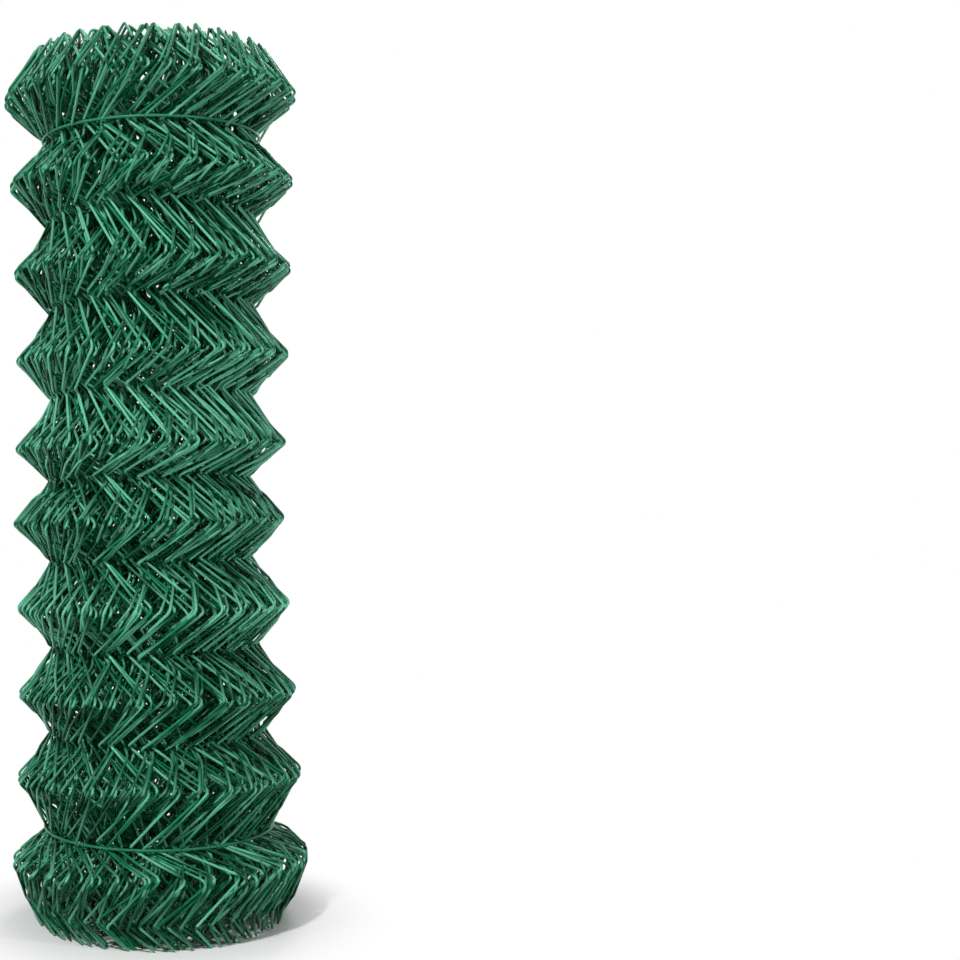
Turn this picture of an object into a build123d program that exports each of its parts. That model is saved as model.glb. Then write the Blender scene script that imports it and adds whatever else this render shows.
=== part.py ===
from build123d import *
import math
import os

# Roll of coated chain-link fencing, standing on one end, +Z up along the roll's axis.
# The origin is the centre of the circle that it stands on. Millimetres.
# The mesh is folded like a bellows at every knot and then rolled up, so the roll is
# a stack of lobes: a ridge where its bends point out and a waist where they point in.

# Mesh
lobe_pitch = 80.0
lobe_count = 10
tip_length_bottom = 12.0
tip_length_top = 3.0

# Bellows shape of the roll
ridge_radius = 126.5
ridge_flare = 10.0
foot_bulge = 4.0
waist_radius = 95.0
waist_flare_bottom = 11.0
waist_flare_top = 5.5
rim_radius_bottom = 119.0
rim_radius_top = 112.0

# Open core and the turns that show on both ends
bore_radius = 40.0
turn_count = 7
turn_gap = 3.6
turn_gap_depth = 12.0

# Tie wires, one in the lowest waist and one in the highest
tie_diameter = 2.5
tie_sides = 6
tie_clearance = 0.3
tie_pull_bottom = -5.0
tie_pull_top = 2.0
tail_length = 14.0
tail_twists = 0.75
tail_press = 0.25
tie_tail_bearing_bottom = 80.0
tie_tail_bearing_top = 104.0

mesh_height = lobe_pitch * lobe_count
roll_height = tip_length_bottom + mesh_height + tip_length_top
half_lobe = lobe_pitch / 2
tail_coil_radius = tie_diameter / 2 - tail_press


def spread(index, count):
    """Place of one of count like things along the roll, from -1 at one end to 1 at the other."""
    if count < 2:
        return 0.0
    return 2 * index / (count - 1) - 1


def ridge_point(index):
    """Radius and height of a ridge, counted from the bottom. The lowest one spreads as a foot."""
    radius = ridge_radius + ridge_flare * spread(index, lobe_count) ** 2
    if index == 0:
        radius += foot_bulge
    return (radius, tip_length_bottom + half_lobe + lobe_pitch * index)


def waist_point(index):
    """Radius and height of the waist above the ridge of the same number."""
    place = spread(index, lobe_count - 1)
    flare = waist_flare_top if place > 0 else waist_flare_bottom
    radius = waist_radius + flare * place**2
    height = tip_length_bottom + lobe_pitch * (index + 1)
    if index == 0:
        height += tie_pull_bottom
    if index == lobe_count - 2:
        height += tie_pull_top
    return (radius, height)


def bellows_body():
    """The turned roll: the folded profile from rim to rim, with its open core."""
    outer = [(rim_radius_bottom, 0)]
    for index in range(lobe_count):
        outer.append(ridge_point(index))
        if index < lobe_count - 1:
            outer.append(waist_point(index))
    outer.append((rim_radius_top, roll_height))
    corners = [(bore_radius, 0), *outer, (bore_radius, roll_height)]
    profile = make_face(Polyline(*corners, close=True))
    return revolve(Plane.XZ * profile, axis=Axis.Z)


def turn_spiral(start_radius, pitch, half_turns):
    """A spiral of half circles about two centres, growing by pitch in each turn."""
    arcs = []
    for index in range(half_turns):
        side = -1 if index % 2 == 0 else 1
        radius = start_radius + pitch / 4 + index * pitch / 2
        first_angle = 0 if index % 2 == 0 else 180
        arcs.append(CenterArc((side * pitch / 4, 0), radius, first_angle, 180))
    return arcs


def turn_gap_cut(rim_radius):
    """The gap between the turns of the rolled mesh, as it shows on an end of that radius."""
    pitch = (rim_radius - bore_radius) / turn_count
    start_radius = bore_radius + pitch - turn_gap
    half_turns = 2 * (turn_count - 1) - 1
    inner = turn_spiral(start_radius, pitch, half_turns)
    outer = turn_spiral(start_radius + turn_gap, pitch, half_turns)
    first_end = Line(inner[0] @ 0, outer[0] @ 0)
    last_end = Line(inner[-1] @ 1, outer[-1] @ 1)
    band = make_face([*inner, *outer, first_end, last_end])
    return extrude(band, turn_gap_depth, dir=(0, 0, 1))


def fence_roll():
    """The bellows body with the gap of its turns cut into both ends."""
    bottom_gap = turn_gap_cut(rim_radius_bottom)
    top_gap = Pos(0, 0, roll_height - turn_gap_depth) * turn_gap_cut(rim_radius_top)
    return bellows_body() - bottom_gap - top_gap


def waist_slope(index):
    """Slope of the flatter flank of a waist, in radians from the level."""
    radius, height = waist_point(index)
    slopes = []
    for ridge_radius_here, ridge_height in (ridge_point(index), ridge_point(index + 1)):
        slopes.append(math.atan2(abs(ridge_height - height), ridge_radius_here - radius))
    return min(slopes)


def seat_radius(index, half_height):
    """Radius at which a wire of that half height sits in a waist, clear of its flanks."""
    return waist_point(index)[0] + (half_height + tie_clearance) / math.sin(waist_slope(index))


def twisted_tail():
    """The two ends of a tie wire twisted together along +X and pressed against each other."""
    wire_section = RegularPolygon(tie_diameter / 2, tie_sides)
    pair = Pos(0, -tail_coil_radius) * wire_section + Pos(0, tail_coil_radius) * wire_section
    guide = Rot(0, 90, 0) * Helix(tail_length / tail_twists, tail_length, tail_coil_radius)
    return sweep(Plane.YZ * pair, path=Line((0, 0), (tail_length, 0)), binormal=guide)


def tie_wire(index, bearing):
    """A wire ring in one waist. Its tail starts in line with it and leans out of the V."""
    tie_radius = tie_diameter / 2
    ring_seat = seat_radius(index, tie_radius)
    section = Pos(ring_seat, 0) * RegularPolygon(tie_radius, tie_sides)
    ring = revolve(Plane.XZ * section, axis=Axis.Z)
    upright_seat = seat_radius(index, tie_radius + tail_coil_radius)
    tail_root = ring_seat + tail_coil_radius
    quarter_twist = tail_length / tail_twists / 4
    lean = math.degrees(math.atan2(upright_seat - tail_root, quarter_twist))
    wire = ring + Pos(0, tail_root, 0) * Rot(0, 0, lean) * twisted_tail()
    return Pos(0, 0, waist_point(index)[1]) * Rot(0, 0, bearing - 90) * wire


nodes = {
    "fence_roll": fence_roll(),
    "tie_wire_bottom": tie_wire(0, tie_tail_bearing_bottom),
    "tie_wire_top": tie_wire(lobe_count - 2, tie_tail_bearing_top),
}

os.makedirs("parts", exist_ok=True)
for name, shape in nodes.items():
    export_step(shape, f"parts/{name}.step")
    print(name, f"{shape.volume / 1000:.1f} cm3")
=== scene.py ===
import bmesh
import bpy
import math
import random
from collections import namedtuple
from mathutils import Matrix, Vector, noise


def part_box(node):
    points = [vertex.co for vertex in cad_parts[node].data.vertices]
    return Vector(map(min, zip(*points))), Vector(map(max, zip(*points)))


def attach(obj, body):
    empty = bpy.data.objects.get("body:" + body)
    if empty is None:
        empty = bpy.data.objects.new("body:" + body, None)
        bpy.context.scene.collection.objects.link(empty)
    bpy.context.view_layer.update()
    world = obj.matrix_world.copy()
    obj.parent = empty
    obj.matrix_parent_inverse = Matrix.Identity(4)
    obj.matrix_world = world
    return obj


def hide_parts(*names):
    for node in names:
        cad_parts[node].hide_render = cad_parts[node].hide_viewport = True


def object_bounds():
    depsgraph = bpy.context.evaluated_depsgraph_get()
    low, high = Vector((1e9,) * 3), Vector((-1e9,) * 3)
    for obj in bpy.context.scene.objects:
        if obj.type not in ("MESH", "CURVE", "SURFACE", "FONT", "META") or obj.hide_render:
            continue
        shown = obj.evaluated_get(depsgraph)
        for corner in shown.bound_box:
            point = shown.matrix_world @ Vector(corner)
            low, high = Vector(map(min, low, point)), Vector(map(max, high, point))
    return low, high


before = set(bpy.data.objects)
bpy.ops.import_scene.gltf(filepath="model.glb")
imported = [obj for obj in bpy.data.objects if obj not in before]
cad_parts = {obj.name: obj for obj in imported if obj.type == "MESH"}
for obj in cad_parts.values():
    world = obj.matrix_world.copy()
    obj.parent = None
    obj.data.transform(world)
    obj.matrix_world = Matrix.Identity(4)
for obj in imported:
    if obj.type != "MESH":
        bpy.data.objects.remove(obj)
cad_low, cad_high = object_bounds()

# Roll of coated chain-link fencing. The mesh is folded like a bellows at every knot and
# then rolled up, so the wires zigzag between ridges, where they bulge out, and waists.
# Metres and degrees. A bearing of 0 points at -Y, the side seen first, and 90 at +X.

# Folds of the mesh, the same as the turned roll's
lobe_pitch = 0.080
lobe_count = 10
tip_length_bottom = 0.012
ridge_radius = 0.1265
ridge_flare = 0.010
foot_bulge = 0.004
waist_radius = 0.095
waist_flare_bottom = 0.011
waist_flare_top = 0.0055
rim_radius_bottom = 0.119
rim_radius_top = 0.112
bore_radius = 0.040
tie_pull_bottom = -0.005
tie_pull_top = 0.002

# Wires and turns
wire_radius = 0.00125
core_radius = 0.00075
pair_count = 226
pair_step = 10.8
turn_count = 7
turn_crowding = 1.6
outer_end_bearing = 170.0
step_share = 0.17

# Shapes of the two kinds of wire. The long wires reach from ridge to waist, and the short
# ones hang between them, hooked a little lower. Swings are degrees from the ridge, and a
# long arm gets a point for each arm_step degrees. What the rounding of a ridge's bend cuts
# off is made up for by its ridge_stand_out.
long_swing = 22.0
short_swing = 10.5
short_ridge_share = 0.30
short_kink_share = 0.05
short_waist_share = 0.42
kink_rise = 0.0255
foot_kink_rise = 0.0200
hook_drop = 0.0185
waist_stand_out = 0.0050
tied_waist_stand_out = 0.0026
ridge_stand_out = 0.0045
arm_step = 24.0

# How far below its turn's face an arm lies, so that arms pass behind one another
sink_depth = 0.0045
deep_sink_depth = 0.0072
foot_sink_long = 0.0020
foot_sink_short = 0.0010

# How far from its corner each bend starts
long_ridge_trim = 0.0075
short_ridge_trim = 0.0050
waist_trim = 0.0045
kink_trim = 0.0100
hook_trim = 0.0040
foot_trim = 0.0035
long_tip_trim = 0.0040
short_tip_trim = 0.0035

# How the folds have tilted and risen. ridge_tilt is their slope up to the right. foot_tilt
# and waist_lift are heights at the front, and waist_lift_slope is how much more the highest
# waist has than the middle one. Where the roll is narrower than narrow_radius, its wires
# lie higher all round, by waist_rise.
ridge_tilt = 0.009
foot_tilt = 0.011
waist_lift = 0.0030
waist_lift_slope = 0.009
waist_rise = 0.0060
narrow_radius = 0.1065

# How far each lobe has slipped to the right and up from its even place, from the bottom
lobe_slips = (
    (0.0035, 0.0050),
    (0.0010, 0.0025),
    (0.0000, 0.0010),
    (-0.0025, 0.0020),
    (-0.0060, 0.0020),
    (-0.0035, -0.0070),
    (-0.0010, -0.0040),
    (0.0000, -0.0025),
    (0.0000, 0.0000),
    (0.0000, 0.0000),
)

# Ends of the wires: tips bent back at the top, and a skirt of short stubs at the bottom
tip_bearing_long = -18.0
tip_bearing_short = 3.6
tip_leg = 0.022
short_tip_share = 0.7
tip_lean = 4.5
foot_bend_height = 0.0250
foot_bearing_long = -16.0
foot_bearing_short = -9.5
stub_swing = 9.5

# Play of single wires that grows from the outer turn to the loose ones inside: what the
# outer turn has, and what the loose ones have on top of it. The tips of the loose ones
# end lower by inner_tip_drop.
loose_from_turn = 0.7
loose_over_turns = 1.3
bearing_play = (1.2, 5.8)
least_swing = (0.94, -0.06)
most_swing = (1.06, 0.41)
height_play = (0.0013, 0.0050)
tip_lean_play = (2.0, 6.0)
tip_drop_factor = (1, 5)
inner_tip_drop = 0.014

# Play of single wires that is the same in every turn, apart from crossing_share, the share
# that leans the other way from crossing_turn inwards. Where the mesh is held, which is at
# the tie wires and at the bend of its foot, the heights differ by held_height_play.
crossing_turn = 3
crossing_share = 0.5
sink_play = 0.0012
tip_drop_play = 0.0018
foot_rises = (0.0, 0.0, 0.002, 0.004)
held_height_play = 0.004
stub_lean_play = 3.0
bend_bearing_play = 0.7
bend_height_play = 0.0010

# Bunching of neighbouring wires: how many degrees it moves them, how quickly that changes
# round the roll, and how far apart two lobes and two turns lie in its noise
bunch_swing = 3.2
bunch_scale = 1.7
bunch_lobe_step = 0.3
bunch_turn_step = 3.7

# Marks on the coating. Steps between two points of a wire shorter than bend_reach lie in
# one of its bends, and its first and last few points count as bent. Bends and ends are
# painted paler, partly as coating whitened by bending and partly as a painted highlight for
# the glints on the bends and the pale tips. Most wires are dark, because their tone is a
# power of an even draw. At a cut end, plastic turns to steel within colour_edge.
bend_reach = 0.006
bend_mark = 1.6
whitened_and_highlit_tip_points = 8
whitened_and_highlit_foot_points = 3
tone_power = 3
middle_tone = 0.5
colour_edge = 0.0001

# Tie wires. The angle of a tail is counted from +X towards +Y.
tie_radius = 0.00125
tie_sides = 12
ring_points = 180
tail_length = 0.014
tail_twists = 0.75
tail_press = 0.00025
tail_lean = 0.0022
tail_steps = 18
tail_lead = 0.009
lead_steps = 4
tail_angles = {"tie_wire_bottom": 80.0, "tie_wire_top": 104.0}

# View, floor and room
camera_distance = 1.386
camera_height = 0.4125
camera_roll = 0.7
camera_lens = 54.6
camera_shift = 0.3387
sensor_width = 36.0
lamp_aim = Vector((0, 0, 0.4))
floor_radius = 8.0
fade_start = 0.10
fade_end = 0.22
room_strength = 0.03

draw = random.Random(11)

# One bend of a wire: its height and bearing, how far the arm after it is sunk, how far from
# its corner the bend starts, how far it stands out, and how far it is lifted at the front
Station = namedtuple("Station", "height bearing sink trim stand_out front_lift", defaults=(0.0,) * 4)


def spread(index, count):
    """Place of one of count like things along the roll, from -1 at one end to 1 at the other."""
    return 2 * index / (count - 1) - 1


def fold_profile():
    """Height and radius of every fold of the roll, from the bottom rim to the top rim."""
    profile = [(0.0, rim_radius_bottom)]
    for index in range(lobe_count):
        middle = tip_length_bottom + lobe_pitch * (index + 0.5)
        bulge = foot_bulge if index == 0 else 0.0
        profile.append((middle, ridge_radius + ridge_flare * spread(index, lobe_count) ** 2 + bulge))
        if index < lobe_count - 1:
            along = spread(index, lobe_count - 1)
            flare = waist_flare_top if along > 0 else waist_flare_bottom
            pull = {0: tie_pull_bottom, lobe_count - 2: tie_pull_top}.get(index, 0.0)
            profile.append((middle + lobe_pitch / 2 + pull, waist_radius + flare * along**2))
    profile.append((cad_high.z, rim_radius_top))
    return profile


folds = fold_profile()
tied_heights = (folds[2][0], folds[2 * lobe_count - 2][0])


def outer_radius(height):
    """Radius of the roll's outside at a height."""
    for (low, low_radius), (high, high_radius) in zip(folds, folds[1:]):
        if height <= high:
            share = (max(height, 0.0) - low) / (high - low)
            return low_radius + (high_radius - low_radius) * share
    return rim_radius_top


def depth_share(turn):
    """How far in a wire lies, from 0 in the outer turn to 1 at the open core.

    The step from one turn to the next is at the back, and the outer turns lie closer.
    """
    whole, part = divmod(turn, 1.0)
    share = max(0.0, (part - 1 + step_share) / step_share)
    turns_in = whole + share * share * (3 - 2 * share)
    return (turns_in / turn_count) ** turn_crowding


mean_outer = (ridge_radius + waist_radius) / 2


def mean_radius(turn):
    """Radius of a turn halfway between its ridges and its waists."""
    return bore_radius + (mean_outer - bore_radius) * (1 - depth_share(turn))


def place(bearing, height, sink, turn):
    """The point of a wire's centre line at that bearing and height, sunk below its turn's face."""
    free = outer_radius(height) - bore_radius - wire_radius
    radius = bore_radius + free * (1 - depth_share(turn)) - sink
    angle = math.radians(bearing)
    return Vector((radius * math.sin(angle), -radius * math.cos(angle), height))


def bunching(bearing, height, turn):
    """Degrees by which the wires near that bearing have slid together."""
    angle = math.radians(bearing)
    along = bunch_lobe_step * height / lobe_pitch + bunch_turn_step * int(turn)
    spot = Vector((math.cos(angle), math.sin(angle), along))
    return bunch_swing * noise.noise(spot * bunch_scale)


def bend_points(before, corner, after, sink_before, sink_after, trim, count):
    """A rounded bend: count points from one arm to the next, changing its sink on the way."""
    arm_in = before - corner
    arm_out = after - corner
    start = corner + arm_in.normalized() * min(trim, arm_in.length / 3)
    end = corner + arm_out.normalized() * min(trim, arm_out.length / 3)
    points = []
    for index in range(count):
        share = index / (count - 1)
        point = start.lerp(corner, share).lerp(corner.lerp(end, share), share)
        eased = share * share * (3 - 2 * share)
        sink = sink_before + (sink_after - sink_before) * eased
        outward = Vector((point.x, point.y, 0)).normalized()
        points.append(point - outward * sink)
    return points


def slipped(height):
    """Sideways and upward slip of the mesh at a height, blended from lobe to lobe."""
    along = (height - tip_length_bottom) / lobe_pitch - 0.5
    index = min(max(int(along), 0), lobe_count - 2)
    share = min(max(along - index, 0.0), 1.0)
    low, high = lobe_slips[index], lobe_slips[index + 1]
    return Vector((low[0] + (high[0] - low[0]) * share, 0, low[1] + (high[1] - low[1]) * share))


def round_arm(start, end, sink):
    """Points on a long arm, which follows its turn round where a straight one would cut across."""
    first = Vector((start.x, start.y))
    second = Vector((end.x, end.y))
    count = int(math.degrees(first.angle(second, 0.0)) / arm_step)
    points = []
    for index in range(1, count + 1):
        share = index / (count + 1)
        point = start.lerp(end, share)
        radius = first.length + (second.length - first.length) * share - sink
        outward = Vector((point.x, point.y, 0)).normalized()
        points.append(Vector((outward.x * radius, outward.y * radius, point.z)))
    return points


def long_wire_stations():
    """Bends of a long wire from the top down."""
    top = folds[-1][0]
    stations = [
        Station(top - tip_leg, tip_bearing_long - tip_lean),
        Station(top, tip_bearing_long, sink_depth, long_tip_trim),
    ]
    for index in reversed(range(lobe_count)):
        ridge = folds[1 + 2 * index][0]
        foot_lift = foot_tilt * (1 - index / lobe_count) ** 3
        stations.append(Station(ridge, 0.0, 0.0, long_ridge_trim, ridge_stand_out, foot_lift))
        if index > 0:
            waist = folds[2 * index][0]
            lift = waist_lift + waist_lift_slope * spread(index - 1, lobe_count - 1)
            stand_out = tied_waist_stand_out if waist in tied_heights else waist_stand_out
            stations.append(Station(waist, -long_swing, sink_depth, waist_trim, stand_out, lift))
    stations.append(Station(foot_bend_height, foot_bearing_long, foot_sink_long, foot_trim))
    stations.append(Station(0.0, foot_bearing_long + stub_swing, foot_sink_long))
    return stations


def short_wire_stations():
    """Bends, kinks and hooks of a short wire from the top down."""
    top = folds[-1][0]
    stations = [
        Station(top - short_tip_share * tip_leg, tip_bearing_short + tip_lean),
        Station(top, tip_bearing_short, 0.0, short_tip_trim),
    ]
    for index in reversed(range(lobe_count)):
        ridge = folds[1 + 2 * index][0]
        lift = 0.0 if index == 0 else foot_tilt * (1 - index / lobe_count) ** 3
        if index < lobe_count - 1:
            kink = ridge + (foot_kink_rise if index == 0 else kink_rise)
            swing = short_kink_share * short_swing
            stations.append(Station(kink, swing, 0.0, kink_trim, 0.0, lift))
        swing = -short_ridge_share * short_swing
        stations.append(Station(ridge, swing, 0.0, short_ridge_trim, ridge_stand_out, lift))
        if index > 0:
            hook = ridge - hook_drop
            stations.append(Station(hook, -short_swing, deep_sink_depth, hook_trim, 0.0, lift))
            swing = -short_waist_share * short_swing
            stations.append(Station(folds[2 * index][0], swing, deep_sink_depth, waist_trim))
    stations.append(Station(foot_bend_height, foot_bearing_short, foot_sink_short, foot_trim))
    stations.append(Station(0.0, foot_bearing_short + stub_swing, foot_sink_short))
    return stations


def by_looseness(play, loose):
    """A value that grows from that of the outer turn as the turns get looser."""
    outer, added = play
    return outer + added * loose


def zigzag(stations, bearing, turn, bend_count):
    """The centre line of one wire, with its own small differences, rounded at every bend."""
    loose = min(max(turn - loose_from_turn, 0.0) / loose_over_turns, 1.0)
    own_bearing = bearing + draw.uniform(-1, 1) * by_looseness(bearing_play, loose)
    own_swing = draw.uniform(by_looseness(least_swing, loose), by_looseness(most_swing, loose))
    own_swing = own_swing * mean_outer / mean_radius(turn)
    own_height = draw.uniform(-1, 1) * by_looseness(height_play, loose)
    if turn >= crossing_turn and draw.random() < crossing_share:
        own_swing = -own_swing
    own_sink = draw.uniform(0.0, sink_play)
    own_tip_drop = draw.uniform(0.0, tip_drop_play)
    own_foot_rise = draw.choice(foot_rises)
    own_held_height = draw.uniform(-held_height_play, held_height_play)
    own_stub_lean = draw.uniform(-stub_lean_play, stub_lean_play)
    own_tip_lean = draw.uniform(-1.0, 1.0) * by_looseness(tip_lean_play, loose)
    corners = []
    last = len(stations) - 1
    for index, station in enumerate(stations):
        height = station.height
        slips = 1 < index < last - 1 and height not in tied_heights
        here = own_bearing + station.bearing * own_swing
        here += draw.uniform(-bend_bearing_play, bend_bearing_play)
        here += bunching(here, height, turn)
        if index == 0:
            here += own_tip_lean
        if index == last:
            here += own_stub_lean
        if slips:
            angle = math.radians(here)
            lift = own_height + draw.uniform(-bend_height_play, bend_height_play)
            if outer_radius(height) < narrow_radius:
                lift += waist_rise
            lift += ridge_tilt * math.sin(angle) * outer_radius(height)
            lift += station.front_lift * math.cos(angle)
        elif index == 0:
            lift = -own_tip_drop * by_looseness(tip_drop_factor, loose) - inner_tip_drop * loose
        elif index == 1:
            lift = -own_tip_drop
        elif index == last:
            lift = own_foot_rise
        else:
            lift = own_held_height
        turn_here = max(turn - station.bearing / 360, 0.0)
        point = place(here, height, own_sink, turn_here)
        outward = Vector((point.x, point.y, 0)).normalized()
        slip = slipped(height) if slips else Vector()
        corners.append(point + outward * station.stand_out + Vector((0, 0, lift)) + slip)
    return rounded_line(stations, corners, bend_count)


def rounded_line(stations, corners, bend_count):
    """The points of a wire from its corners: its two ends, and round bends and arms between."""
    last = len(stations) - 1
    line = []
    for index, corner in enumerate(corners):
        sink_before = stations[max(index - 1, 0)].sink
        if index in (0, last):
            outward = Vector((corner.x, corner.y, 0)).normalized()
            line.append(corner - outward * sink_before)
            continue
        sink = stations[index].sink
        trim = stations[index].trim
        before, after = corners[index - 1], corners[index + 1]
        line += bend_points(before, corner, after, sink_before, sink, trim, bend_count)
        line += round_arm(corner, after, sink)
    return [inside_box(point) for point in line]


def inside_box(point):
    """The point, moved in by as much as a wire there would stick out of the roll's box."""
    flat = Vector((point.x, point.y, 0))
    reach = cad_high.x - wire_radius
    if flat.length > reach:
        flat = flat.normalized() * reach
    height = min(max(point.z, wire_radius), cad_high.z - wire_radius)
    return Vector((flat.x, flat.y, height))


def tube_mesh(name, lines, radius, sides, closed=False):
    """A mesh of round wires along those lines, with their ends closed unless they are rings."""
    curve = bpy.data.curves.new(name, "CURVE")
    curve.dimensions = "3D"
    curve.bevel_depth = radius
    curve.bevel_resolution = (sides - 4) // 2
    curve.use_fill_caps = not closed
    for line in lines:
        spline = curve.splines.new("POLY")
        spline.points.add(len(line) - 1)
        for point, spot in zip(spline.points, line):
            point.co = (*spot, 1.0)
        spline.use_cyclic_u = closed
        spline.use_smooth = True
    guide = bpy.data.objects.new(name + "_guide", curve)
    bpy.context.scene.collection.objects.link(guide)
    bpy.context.view_layer.update()
    depsgraph = bpy.context.evaluated_depsgraph_get()
    mesh = bpy.data.meshes.new_from_object(guide.evaluated_get(depsgraph))
    bpy.data.objects.remove(guide)
    mesh.name = name
    return mesh


def mark_wires(mesh, lines, sides):
    """Gives each wire its own tone, and marks how much its coating was bent, for the material.

    Red is the wire's own tone, green the bending of its coating, which the material paints
    paler as whitened coating and as a painted highlight, and blue the bare steel.
    """
    looks = []
    for line in lines:
        tone = draw.random() ** tone_power
        for index, point in enumerate(line):
            bent = 0.0
            if 0 < index < len(line) - 1:
                before = point - line[index - 1]
                after = line[index + 1] - point
                if max(before.length, after.length) < bend_reach:
                    bent = min(1.0, bend_mark * before.angle(after, 0.0))
            # The ends are painted fully pale: whitened coating, and a painted highlight at the tips
            # and stubs
            if index < whitened_and_highlit_tip_points or index >= len(line) - whitened_and_highlit_foot_points:
                bent = 1.0
            looks += [(tone, bent, 0.0, 1.0)] * sides
    attribute = mesh.color_attributes.new("wire_look", "FLOAT_COLOR", "POINT")
    flat = [value for look in looks for value in look]
    flat += [middle_tone, 0.0, 0.0, 1.0] * (len(mesh.vertices) - len(looks))
    attribute.data.foreach_set("color", flat)


def bare_cut_ends(mesh):
    """Insets the cut ends, so that the steel core shows inside its ring of plastic."""
    bm = bmesh.new()
    bm.from_mesh(mesh)
    look = bm.verts.layers.float_color["wire_look"]
    ends = [face for face in bm.faces if len(face.verts) > 4]
    for step in (wire_radius - core_radius, colour_edge):
        bmesh.ops.inset_individual(bm, faces=ends, thickness=step, use_even_offset=True)
    for face in ends:
        for vert in face.verts:
            vert[look] = (middle_tone, 0.0, 1.0, 1.0)
    bm.to_mesh(mesh)
    bm.free()


def wire_piece(name, mesh, material):
    """A piece from that mesh, in that material."""
    mesh.materials.clear()
    mesh.materials.append(material)
    piece = bpy.data.objects.new(name, mesh)
    bpy.context.scene.collection.objects.link(piece)
    return piece


# Groups of turns, each with its own meshes: name, first turn, the turn after its last,
# sides of a wire and points to a bend
turn_groups = (
    ("first_turn", 0, 1, 8, 5),
    ("second_turn", 1, 2, 6, 5),
    ("third_turn", 2, 3, 6, 4),
    ("fourth_and_fifth_turns", 3, 5, 6, 3),
    ("inner_turns", 5, 7, 6, 3),
)


def mesh_turns(material):
    """All wires of the rolled mesh, as one piece for each group of turns."""
    pieces = []
    for name, first, after, sides, bend_count in turn_groups:
        for kind, stations in (("long", long_wire_stations()), ("short", short_wire_stations())):
            lines = []
            for pair in range(pair_count):
                turn = pair * pair_step / 360
                if first <= turn < after:
                    bearing = outer_end_bearing - 360 * turn
                    lines.append(zigzag(stations, bearing, turn, bend_count))
            full_name = f"{name}_{kind}_wires"
            mesh = tube_mesh(full_name, lines, wire_radius, sides)
            mark_wires(mesh, lines, sides)
            bare_cut_ends(mesh)
            pieces.append(wire_piece(full_name, mesh, material))
    return pieces


def tie_wire_lines(node, tail_angle):
    """Centre lines of a tie wire: its ring, and its two ends twisted together."""
    low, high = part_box(node)
    height = (low.z + high.z) / 2
    ring_radius = -low.x - tie_radius
    ring = []
    for index in range(ring_points):
        angle = 2 * math.pi * index / ring_points
        ring.append(Vector((ring_radius * math.cos(angle), ring_radius * math.sin(angle), height)))
    coil_radius = tie_radius - tail_press
    start = math.radians(tail_angle)
    outward = Vector((math.cos(start), math.sin(start), 0))
    along = Vector((outward.y, -outward.x, 0))
    root = outward * (ring_radius + coil_radius) + Vector((0, 0, height))
    strands = []
    for side in (-1, 1):
        strand = []
        for index in range(lead_steps):
            back = tail_lead * (1 - index / lead_steps)
            angle = start + back / ring_radius
            eased = 0.5 * (1 - math.cos(math.pi * index / lead_steps))
            radius = ring_radius + (coil_radius + side * coil_radius) * eased
            strand.append(Vector((radius * math.cos(angle), radius * math.sin(angle), height)))
        for index in range(tail_steps + 1):
            share = index / tail_steps
            twist = 2 * math.pi * tail_twists * share
            lean = outward * tail_lean * share * math.sin(math.pi * share / 2)
            swing = outward * math.cos(twist) + Vector((0, 0, 1)) * math.sin(twist)
            strand.append(root + along * tail_length * share + lean + swing * side * coil_radius)
        strands.append(strand)
    return ring, strands


def tie_wire(node, tail_angle, material):
    """A round tie wire in place of the node, its twisted ends joined to its ring's mesh."""
    ring, strands = tie_wire_lines(node, tail_angle)
    ring_mesh = tube_mesh(node + "_ring", [ring], tie_radius, tie_sides, closed=True)
    mark_wires(ring_mesh, [ring], tie_sides)
    strand_mesh = tube_mesh(node + "_twist", strands, tie_radius, tie_sides)
    mark_wires(strand_mesh, strands, tie_sides)
    bare_cut_ends(strand_mesh)
    bm = bmesh.new()
    bm.from_mesh(strand_mesh)
    bm.from_mesh(ring_mesh)
    bm.to_mesh(strand_mesh)
    bm.free()
    for polygon in strand_mesh.polygons:
        polygon.use_smooth = len(polygon.vertices) == 4
    return wire_piece(node + "_round", strand_mesh, material)


# Looks of the coating that the mesh and the tie wires share
tone_share = 0.80
# Share of the paler bend colour, which is whitened coating and a painted highlight on bends and tips
bend_whitening_and_highlight_share = 0.75
steel_mark = 0.9
dust_colour = (0.10, 0.30, 0.20)
steel_colour = (0.45, 0.46, 0.45)
gloss_tint = (0.30, 1.0, 0.64)


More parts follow.
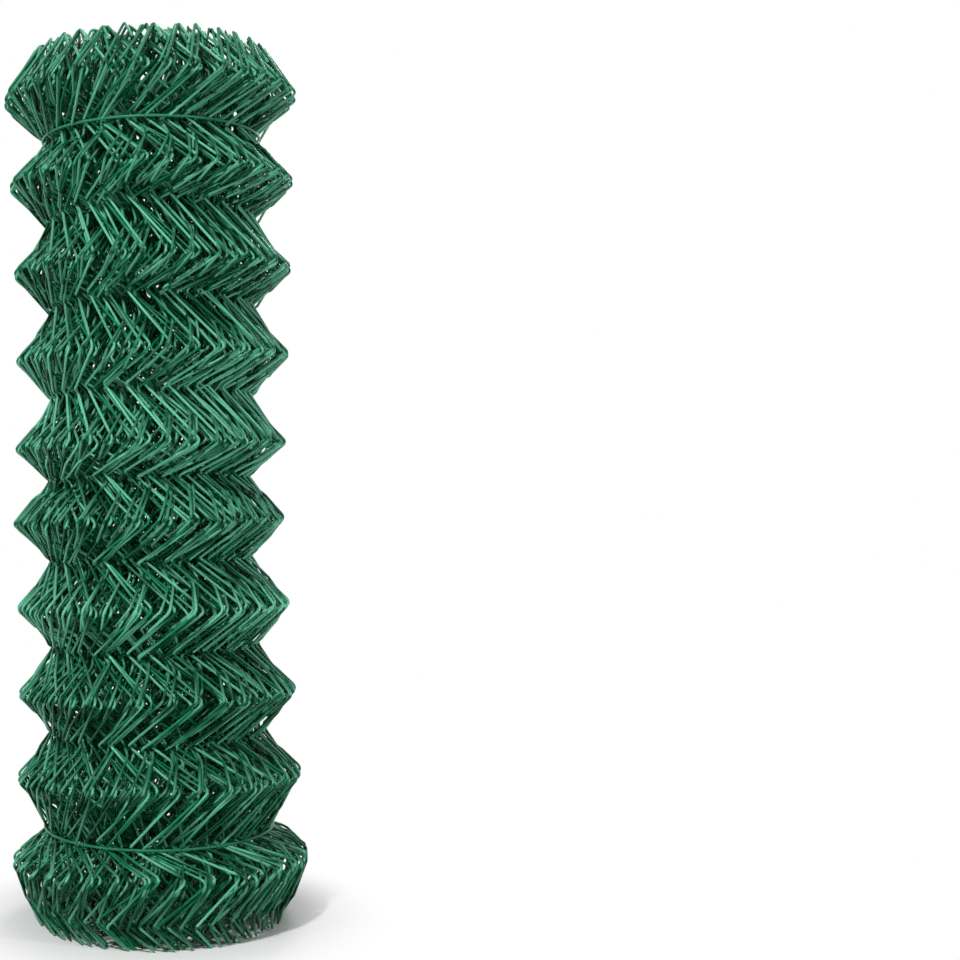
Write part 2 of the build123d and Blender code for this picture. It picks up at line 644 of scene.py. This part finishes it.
def coating_wear_group():
    """Dust on the upper sides, blotches and fine grain, for every plastic-coated wire."""
    group = bpy.data.node_groups.new("coating_wear", "ShaderNodeTree")
    inputs = (("Blotch Scale", 60.0), ("Grain Scale", 900.0), ("Dust", 0.12))
    for name, value in inputs:
        socket = group.interface.new_socket(name, in_out="INPUT", socket_type="NodeSocketFloat")
        socket.default_value = value
    for name in ("Tone", "Dust", "Grain"):
        group.interface.new_socket(name, in_out="OUTPUT", socket_type="NodeSocketFloat")
    nodes = group.nodes
    links = group.links
    given = nodes.new("NodeGroupInput")
    result = nodes.new("NodeGroupOutput")
    where = nodes.new("ShaderNodeTexCoord")
    blotch = nodes.new("ShaderNodeTexNoise")
    blotch.inputs["Detail"].default_value = 3.0
    links.new(where.outputs["Object"], blotch.inputs["Vector"])
    links.new(given.outputs["Blotch Scale"], blotch.inputs["Scale"])
    grain = nodes.new("ShaderNodeTexNoise")
    grain.inputs["Detail"].default_value = 2.0
    links.new(where.outputs["Object"], grain.inputs["Vector"])
    links.new(given.outputs["Grain Scale"], grain.inputs["Scale"])
    shape = nodes.new("ShaderNodeNewGeometry")
    upward = nodes.new("ShaderNodeSeparateXYZ")
    links.new(shape.outputs["Normal"], upward.inputs["Vector"])
    settle = nodes.new("ShaderNodeMapRange")
    settle.inputs["From Min"].default_value = 0.35
    settle.inputs["From Max"].default_value = 1.0
    links.new(upward.outputs["Z"], settle.inputs["Value"])
    patchy = nodes.new("ShaderNodeMath")
    patchy.operation = "MULTIPLY"
    links.new(settle.outputs["Result"], patchy.inputs[0])
    links.new(blotch.outputs["Fac"], patchy.inputs[1])
    amount = nodes.new("ShaderNodeMath")
    amount.operation = "MULTIPLY"
    links.new(patchy.outputs["Value"], amount.inputs[0])
    links.new(given.outputs["Dust"], amount.inputs[1])
    links.new(blotch.outputs["Fac"], result.inputs["Tone"])
    links.new(amount.outputs["Value"], result.inputs["Dust"])
    links.new(grain.outputs["Fac"], result.inputs["Grain"])
    return group


def colour_mix(tree, share, first, second):
    """Adds a colour mix; first and second are colours or sockets."""
    mix = tree.nodes.new("ShaderNodeMix")
    mix.data_type = "RGBA"
    tree.links.new(share, mix.inputs["Factor"])
    for socket, value in ((mix.inputs[6], first), (mix.inputs[7], second)):
        if isinstance(value, tuple):
            socket.default_value = (*value, 1)
        else:
            tree.links.new(value, socket)
    return mix.outputs[2]


def coating(name, wear_group, deep, fresh, bend_whitening_and_highlight_colour, gloss):
    """Glossy plastic coating over steel wire: dusty, bare at its ends, and at its bends whitened and
    given a painted highlight.
    """
    material = bpy.data.materials.new(name)
    material.use_nodes = True
    tree = material.node_tree
    nodes = tree.nodes
    links = tree.links
    shader = nodes["Principled BSDF"]
    wear = nodes.new("ShaderNodeGroup")
    wear.node_tree = wear_group
    look = nodes.new("ShaderNodeAttribute")
    look.attribute_name = "wire_look"
    parts = nodes.new("ShaderNodeSeparateColor")
    links.new(look.outputs["Color"], parts.inputs["Color"])
    tone = nodes.new("ShaderNodeMath")
    tone.operation = "MULTIPLY_ADD"
    tone.inputs[1].default_value = tone_share
    links.new(parts.outputs["Red"], tone.inputs[0])
    blotch = nodes.new("ShaderNodeMapRange")
    blotch.inputs["From Min"].default_value = 0.35
    blotch.inputs["From Max"].default_value = 0.70
    blotch.inputs["To Max"].default_value = 0.32
    links.new(wear.outputs["Tone"], blotch.inputs["Value"])
    links.new(blotch.outputs["Result"], tone.inputs[2])
    green = colour_mix(tree, tone.outputs["Value"], deep, fresh)
    # Paler colour at bends and ends: coating whitened by bending, and a painted highlight for glints
    # and pale tips
    bent = nodes.new("ShaderNodeMath")
    bent.operation = "MULTIPLY"
    bent.inputs[1].default_value = bend_whitening_and_highlight_share
    links.new(parts.outputs["Green"], bent.inputs[0])
    green = colour_mix(tree, bent.outputs["Value"], green, bend_whitening_and_highlight_colour)
    green = colour_mix(tree, wear.outputs["Dust"], green, dust_colour)
    steel = nodes.new("ShaderNodeMath")
    steel.operation = "GREATER_THAN"
    steel.inputs[1].default_value = steel_mark
    links.new(parts.outputs["Blue"], steel.inputs[0])
    colour = colour_mix(tree, steel.outputs["Value"], green, steel_colour)
    links.new(colour, shader.inputs["Base Color"])
    links.new(steel.outputs["Value"], shader.inputs["Metallic"])
    rough = nodes.new("ShaderNodeMapRange")
    rough.inputs["To Min"].default_value = 0.20
    rough.inputs["To Max"].default_value = 0.38
    links.new(wear.outputs["Grain"], rough.inputs["Value"])
    links.new(rough.outputs["Result"], shader.inputs["Roughness"])
    bump = nodes.new("ShaderNodeBump")
    bump.inputs["Strength"].default_value = 0.12
    bump.inputs["Distance"].default_value = 0.0003
    links.new(wear.outputs["Grain"], bump.inputs["Height"])
    links.new(bump.outputs["Normal"], shader.inputs["Normal"])
    shader.inputs["Specular IOR Level"].default_value = gloss
    shader.inputs["Specular Tint"].default_value = (*gloss_tint, 1)
    return material


def floor_material(name, colour):
    """Pale matt floor that fades to plain white away from the object."""
    material = bpy.data.materials.new(name)
    material.use_nodes = True
    nodes = material.node_tree.nodes
    links = material.node_tree.links
    shader = nodes["Principled BSDF"]
    shader.inputs["Base Color"].default_value = (*colour, 1)
    shader.inputs["Roughness"].default_value = 1.0
    shader.inputs["Specular IOR Level"].default_value = 0.0
    where = nodes.new("ShaderNodeTexCoord")
    distance = nodes.new("ShaderNodeVectorMath")
    distance.operation = "LENGTH"
    links.new(where.outputs["Object"], distance.inputs[0])
    fade = nodes.new("ShaderNodeMapRange")
    fade.inputs["From Min"].default_value = fade_start
    fade.inputs["From Max"].default_value = fade_end
    fade.interpolation_type = "SMOOTHSTEP"
    links.new(distance.outputs["Value"], fade.inputs["Value"])
    light = nodes.new("ShaderNodeLightPath")
    share = nodes.new("ShaderNodeMath")
    share.operation = "MULTIPLY"
    links.new(seen_directly(material.node_tree, light), share.inputs[0])
    links.new(fade.outputs["Result"], share.inputs[1])
    white = nodes.new("ShaderNodeEmission")
    white.inputs["Color"].default_value = (1, 1, 1, 1)
    mix = nodes.new("ShaderNodeMixShader")
    links.new(share.outputs["Value"], mix.inputs[0])
    links.new(shader.outputs["BSDF"], mix.inputs[1])
    links.new(white.outputs["Emission"], mix.inputs[2])
    links.new(mix.outputs["Shader"], nodes["Material Output"].inputs["Surface"])
    return material


def seen_directly(tree, light):
    """Socket that is 1 for rays from the camera, from a glossy surface or through glass."""
    socket = light.outputs["Is Camera Ray"]
    for kind in ("Is Glossy Ray", "Is Transmission Ray"):
        either = tree.nodes.new("ShaderNodeMath")
        either.operation = "MAXIMUM"
        tree.links.new(socket, either.inputs[0])
        tree.links.new(light.outputs[kind], either.inputs[1])
        socket = either.outputs["Value"]
    return socket


def white_room():
    """World that looks white and gives a little even light."""
    world = bpy.data.worlds.new("studio")
    bpy.context.scene.world = world
    world.use_nodes = True
    tree = world.node_tree
    nodes = tree.nodes
    links = tree.links
    nodes.clear()
    output = nodes.new("ShaderNodeOutputWorld")
    room = nodes.new("ShaderNodeBackground")
    room.inputs["Color"].default_value = (1, 1, 1, 1)
    room.inputs["Strength"].default_value = room_strength
    white = nodes.new("ShaderNodeBackground")
    white.inputs["Color"].default_value = (1, 1, 1, 1)
    light = nodes.new("ShaderNodeLightPath")
    mix = nodes.new("ShaderNodeMixShader")
    links.new(seen_directly(tree, light), mix.inputs[0])
    links.new(room.outputs["Background"], mix.inputs[1])
    links.new(white.outputs["Background"], mix.inputs[2])
    links.new(mix.outputs["Shader"], output.inputs["Surface"])


# Lamps: name, place, size, power
lamps = (
    ("key", (-0.8, -1.9, 2.3), 0.20, 60.0),
    ("right", (1.9, -1.5, 1.2), 0.20, 17.0),
    ("left", (-1.7, -1.2, 0.50), 0.25, 10.0),
    ("back", (0.6, 1.9, 1.8), 0.80, 20.0),
)


def studio():
    """Floor, lamps, world and camera."""
    scene = bpy.context.scene
    scene.view_settings.view_transform = "Standard"
    bm = bmesh.new()
    bmesh.ops.create_circle(bm, cap_ends=True, segments=64, radius=floor_radius)
    mesh = bpy.data.meshes.new("floor")
    bm.to_mesh(mesh)
    bm.free()
    mesh.materials.append(floor_material("pale_floor", (0.92, 0.92, 0.92)))
    floor = bpy.data.objects.new("floor", mesh)
    scene.collection.objects.link(floor)
    white_room()
    for name, spot, size, power in lamps:
        lamp = bpy.data.lights.new(name, "AREA")
        lamp.size = size
        lamp.energy = power
        lamp_object = bpy.data.objects.new(name, lamp)
        lamp_object.location = spot
        aim = lamp_aim - Vector(spot)
        lamp_object.rotation_euler = aim.to_track_quat("-Z", "Y").to_euler()
        scene.collection.objects.link(lamp_object)
    camera = bpy.data.cameras.new("camera")
    camera.lens = camera_lens
    camera.sensor_width = sensor_width
    camera_object = bpy.data.objects.new("camera", camera)
    camera.shift_x = camera_shift
    camera_object.location = (0.0, -camera_distance, camera_height)
    camera_object.rotation_euler = (math.radians(90), math.radians(camera_roll), 0.0)
    scene.collection.objects.link(camera_object)
    scene.camera = camera_object


studio()
wear = coating_wear_group()
mesh_green = coating(
    "green_coating",
    wear,
    deep=(0.0002, 0.029, 0.008),
    fresh=(0.004, 0.17, 0.070),
    # Paler colour at bends and tips: whitened coating and a painted highlight
    bend_whitening_and_highlight_colour=(0.16, 0.58, 0.38),
    gloss=0.34,
)
tie_green = coating(
    "tie_wire_coating",
    wear,
    deep=(0.012, 0.14, 0.068),
    fresh=(0.030, 0.22, 0.12),
    # Paler colour at bends and tips: whitened coating and a painted highlight
    bend_whitening_and_highlight_colour=(0.08, 0.36, 0.22),
    gloss=0.20,
)
for turn_piece in mesh_turns(mesh_green):
    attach(turn_piece, "root")
    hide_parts("fence_roll")
for tie_node, tail_angle in tail_angles.items():
    tie_piece = tie_wire(tie_node, tail_angle, tie_green)
    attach(tie_piece, "root")
    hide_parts(tie_node)
